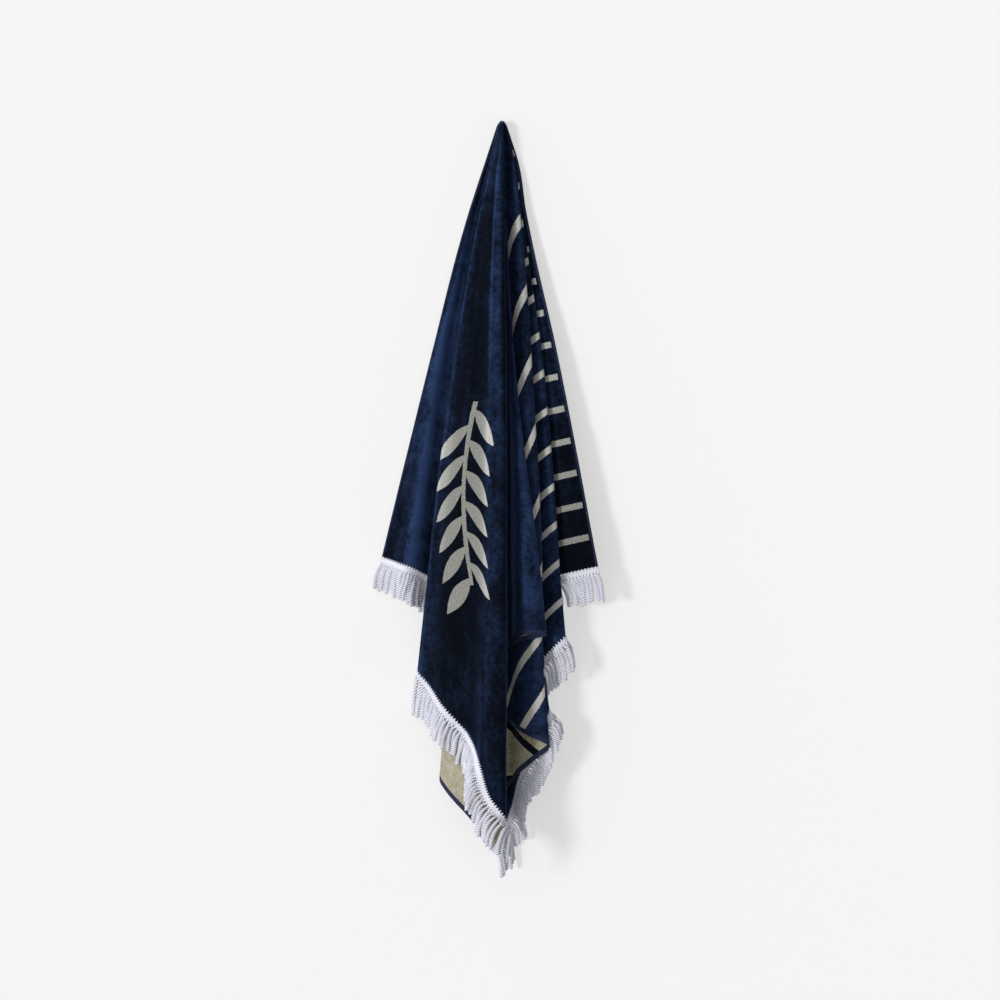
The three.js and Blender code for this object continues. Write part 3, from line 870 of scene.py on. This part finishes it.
# Places along a cut end, with the directions off its face and squarely out of it. way is 1 at the right end
# and -1 at the left end
def cutEnd(way, across):
    fine = np.linspace(*fringe["endSpans"][way], fringe["endSamples"])
    alongPull, upPull = pull(fine)
    height = upPull + (towel["length"] / 2 - way * alongPull) * np.abs(np.tan(flatAngle(fine)))

    def place(a, inwards):
        chain = np.interp(a, height, fine)
        radius = reach(chain)[0] - inwards
        return crumple(hung(chain, radius), radius)

    step = fringe["endStep"]
    aside = place(across + step, 0) - place(across - step, 0)
    aside /= np.linalg.norm(aside, axis=-1, keepdims=True)
    down = place(across, 0) - place(across, step)
    off = np.cross(aside, down) * -way
    off /= np.linalg.norm(off, axis=-1, keepdims=True)
    square = np.cross(off, aside) * -way
    return place(across, 0), off, square


# Copies of a shape hung from the origin, each with its own place along the cut end
def addCopies(bm, shape, count, placed):
    shade = bm.verts.layers.float.new("shade")
    source = [Vector(vertex.co) for vertex in shape.vertices]
    for k in range(count):
        first = len(bm.verts)
        bm.from_mesh(shape)
        bm.verts.ensure_lookup_table()
        for vertex, local in zip(bm.verts[first:], source):
            vertex.co, vertex[shade] = placed(k, local)


# A straight rope hanging from the origin: a two-lobed section twisted along its length
def straightRope(name, radius, lobe, length, turns, steps):
    bm = bmesh.new()
    bmesh.ops.create_circle(bm, segments=fringe["ropeSides"], radius=radius)
    for vertex in bm.verts:
        angle = math.atan2(vertex.co.y, vertex.co.x)
        vertex.co *= 1 + lobe / radius * math.cos(2 * angle)
    bmesh.ops.spin(
        bm, geom=bm.verts[:] + bm.edges[:], angle=2 * math.pi * turns,
        steps=steps, axis=(0, 0, 1), cent=(0, 0, 0), dvec=(0, 0, -length / steps), use_merge=False,
    )
    ends = [edge for edge in bm.edges if edge.is_boundary]
    bmesh.ops.holes_fill(bm, edges=ends, sides=fringe["ropeSides"])
    bmesh.ops.recalc_face_normals(bm, faces=bm.faces)
    mesh = bpy.data.meshes.new(name)
    bm.to_mesh(mesh)
    bm.free()
    return mesh


# The header: ribs side by side, square to the cut end, each swelling where its neighbours narrow
def addRibs(bm, way, shape):
    across = placesAlong(fringe["ribPitch"])
    edge, off, square = ([Vector(row) for row in rows] for rows in cutEnd(way, across))
    radius = fringe["ribRadius"]
    pale, paler, darker = fringe["ribTones"]
    least = fringe["leastFullness"][0]

    def placed(k, local):
        along = -local.z
        out = fringe["ribStarts"][k % 2] + along
        swell = 1 + fringe["ribSwell"] * max(0, 1 - max(0, out) / fringe["ribSwellLength"])
        toEnd = min(1, along / radius, (fringe["ribLength"] - along) / radius)
        stitch = math.cos(2 * math.pi * out / fringe["stitch"] + math.pi * (k % 2))
        full = math.sqrt(max(least, 1 - (1 - toEnd) ** 2)) * (1 + fringe["stitchDepth"] * stitch)
        aside = off[k].cross(square[k])
        place = edge[k] + square[k] * out
        place += off[k] * (local.y * full * swell) + aside * (local.x * full)
        # painted shade at the rib's sides and on the eyelet row, painted highlight where the rib swells
        eyelet = math.exp(-((out - fringe["eyeletRow"]) / fringe["eyeletHalf"]) ** 2) * (k % 2)
        return place, pale + paler * stitch - darker * (local.x / radius) ** 2 - eyelet

    addCopies(bm, shape, len(across), placed)


# How full a cord is at a distance from its root: slim where it leaves the header, rounded at its tip
def cordFullness(run):
    toTip = (fringe["cordLength"] - run) / fringe["tipLength"]
    fromRoot = min(1, run / fringe["rootLength"])
    slim = fringe["rootShare"] + (1 - fringe["rootShare"]) * fromRoot
    return slim * math.sqrt(max(fringe["leastFullness"][1], 1 - max(0, 1 - toTip) ** 2))


# Cords along the whole end: each leaves the header squarely, and bends over until it hangs straight down
def addCords(bm, way, shape, draw):
    varies = fringe["pitchVaries"]
    across = placesAlong(fringe["cordPitch"])
    across += [draw.uniform(-varies, varies) for _ in across]
    edge, off, square = ([Vector(row) for row in rows] for rows in cutEnd(way, across))
    fall = Vector((0, 0, -1))
    loose = [
        {
            "scale": draw.uniform(*fringe["lengths"]),
            "sway": draw.gauss(0, fringe["sway"]),
            "forward": draw.gauss(0, fringe["sway"]),
            "wobble": draw.uniform(-1, 1) * fringe["wobble"],
            "bend": fringe["bend"] * draw.uniform(*fringe["bendVaries"]),
            "spin": Matrix.Rotation(draw.uniform(0, 2 * math.pi), 3, "Z"),
        }
        for _ in across
    ]
    drifts = np.zeros((len(across), 3))
    for end, at, width, drift in cordGroups:
        if end == way:
            drifts += np.outer(np.exp(-((across - at) / width) ** 2), drift)

    def placed(k, local):
        one = loose[k]
        run = -local.z * one["scale"]
        t = run / fringe["cordLength"]
        early = one["bend"] * (1 - math.exp(-run / one["bend"]))
        aside = off[k].cross(fall).normalized()
        front = fall.cross(aside)
        ring = one["spin"] @ Vector((local.x, local.y, 0)) * cordFullness(-local.z)
        layer = fringe["layer"] * (1 if k % 2 else -1) * min(1, fringe["layerSoonness"] * t)
        middle = edge[k] + square[k] * (fringe["cordRoot"] + early) + fall * (run - early)
        middle += aside * (one["sway"] * t * t + one["wobble"] * math.sin(2 * math.pi * t))
        aslant, forward, lower = drifts[k] * t * (2 - t)
        middle += front * (one["forward"] * t + layer + forward) + Vector((aslant, 0, -lower))
        middle.y = min(middle.y, towel["wallGap"] - fringe["cordRadius"])
        # painted shade: the cord is darker in the valleys of its twisted section
        lobe = (math.hypot(local.x, local.y) - fringe["cordRadius"]) / fringe["cordLobe"]
        return middle + aside * ring.x + front * ring.y, (1 + lobe) / 2

    addCopies(bm, shape, len(across), placed)


whiteYarn = {
    "fibres": (900, 2.0),
    "toneFibres": 0.8,
    "tones": (-0.1, 0.7),
    "relief": (0.5, 0.0006),
}


# White cotton, with painted shade in the grooves between its strands
def fringeMaterial():
    material, start, surface = newMaterial("whiteCord", {
        "Sheen Weight": 0.2,
        "Sheen Roughness": 0.5,
        "Specular IOR Level": 0.2,
        "Roughness": 0.8,
    })
    place = start.node("ShaderNodeTexCoord", {}, {}, out="Object")
    shade = start.node("ShaderNodeAttribute", {"attribute_name": "shade"}, {}, out="Fac")
    fibres = noise(start, place, *whiteYarn["fibres"])
    tone = between(shade + (fibres - 0.5) * whiteYarn["toneFibres"], *whiteYarn["tones"])
    connect(start.tree, surface, {
        "Base Color": mixed(tone, colours["fringeShade"], colours["fringe"]),
        "Normal": relieved(start, fibres, *whiteYarn["relief"]),
    })
    return material


def makeFringe(name, way, seed, material, rib, cord):
    header = bmesh.new()
    addRibs(header, way, rib)
    cords = bmesh.new()
    addCords(cords, way, cord, random.Random(seed))
    return [
        finishedObject(name + "Header", header, [material]),
        finishedObject(name + "Cords", cords, [material]),
    ]


cloth = makeCloth()
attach(cloth, "root")
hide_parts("cloth")
print("cloth made:", len(cloth.data.polygons), "faces")

white = fringeMaterial()
rib = straightRope("straightRib", fringe["ribRadius"], 0, fringe["ribLength"], 0, fringe["ribSteps"])
cord = straightRope(
    "straightCord", fringe["cordRadius"], fringe["cordLobe"], fringe["cordLength"],
    fringe["cordLength"] / fringe["cordTurn"], fringe["cordSteps"],
)

# Each cut end: its pieces' name, the node they replace, which end it is and the seed of its random draws
cutEnds = [
    ("fringeRight", "fringe_right", 1, 11),
    ("fringeLeft", "fringe_left", -1, 23),
]
for name, node, way, seed in cutEnds:
    for piece in makeFringe(name, way, seed, white, rib, cord):
        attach(piece, "root")
        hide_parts(node)
        print(piece.name, "made:", len(piece.data.polygons), "faces")

# The pale wall behind the towel, the floor, the light and the camera
studio = {
    "wallAt": 0.017,
    "floorAt": -1.78,
    "size": 7.0,
    "pictureWidth": 1.865,
    "pictureCentre": (-0.0037, -0.7068),
    "cameraDistance": 13.0,
    "wallGrey": 0.42,
    "wallGlow": 0.49,
    "floorGrey": 0.80,
    "roomLight": 0.32,
}

# Each light: its name, its strength, the direction it comes from and how wide it is in degrees
suns = [
    ("key", 1.68, (-0.78, -1.0, -0.03), 11),
    ("soft", 1.25, (-0.9, -1.0, 0.35), 100),
    ("back", 0.9, (1.5, 3.0, 1.2), 60),
]


def stagePlane(name, matrix, grey, glow, seenFromBehind):
    bm = bmesh.new()
    bmesh.ops.create_grid(bm, x_segments=1, y_segments=1, size=studio["size"], matrix=matrix)
    material, start, surface = newMaterial(name, {
        "Base Color": (grey, grey, grey, 1),
        "Roughness": 1.0,
        "Specular IOR Level": 0.0,
        "Emission Color": (1, 1, 1, 1),
        "Emission Strength": glow,
    })
    if not seenFromBehind:
        tree = start.tree
        behind = start.node("ShaderNodeNewGeometry", {}, {}, out="Backfacing")
        clear = start.node("ShaderNodeBsdfTransparent", {}, {})
        mix = start.node("ShaderNodeMixShader", {}, {0: behind, 2: clear})
        tree.links.new(surface.outputs[0], mix.socket.node.inputs[1])
        tree.links.new(mix.socket, tree.nodes["Material Output"].inputs["Surface"])
    plane = finishedObject(name, bm, [material])
    return plane


def addSun(name, energy, place, width):
    light = bpy.data.lights.new(name, "SUN")
    light.energy = energy
    light.angle = math.radians(width)
    lamp = bpy.data.objects.new(name, light)
    lamp.location = place
    lamp.rotation_euler = (-Vector(place)).to_track_quat("-Z", "Y").to_euler()
    bpy.context.scene.collection.objects.link(lamp)


upright = Matrix.Translation((0, studio["wallAt"], 0)) @ Matrix.Rotation(math.pi / 2, 4, "X")
wall = stagePlane("wall", upright, studio["wallGrey"], studio["wallGlow"], False)
wall.visible_shadow = False
wall.visible_diffuse = False
lying = Matrix.Translation((0, 0, studio["floorAt"]))
floor = stagePlane("floor", lying, studio["floorGrey"], 0, True)
floor.visible_shadow = False
for sun in suns:
    addSun(*sun)
world = bpy.data.worlds.new("studio")
world.use_nodes = True
background = world.node_tree.nodes["Background"]
background.inputs["Color"].default_value = (1, 1, 1, 1)
background.inputs["Strength"].default_value = studio["roomLight"]
bpy.context.scene.world = world
bpy.context.scene.view_settings.view_transform = "Standard"

camera = bpy.data.cameras.new("camera")
camera.sensor_width = 36
camera.lens = camera.sensor_width * studio["cameraDistance"] / studio["pictureWidth"]
camera.clip_end = 100
cameraObject = bpy.data.objects.new("camera", camera)
cameraObject.location = (studio["pictureCentre"][0], -studio["cameraDistance"], studio["pictureCentre"][1])
cameraObject.rotation_euler = (math.pi / 2, 0, 0)
bpy.context.scene.collection.objects.link(cameraObject)
bpy.context.scene.camera = cameraObject
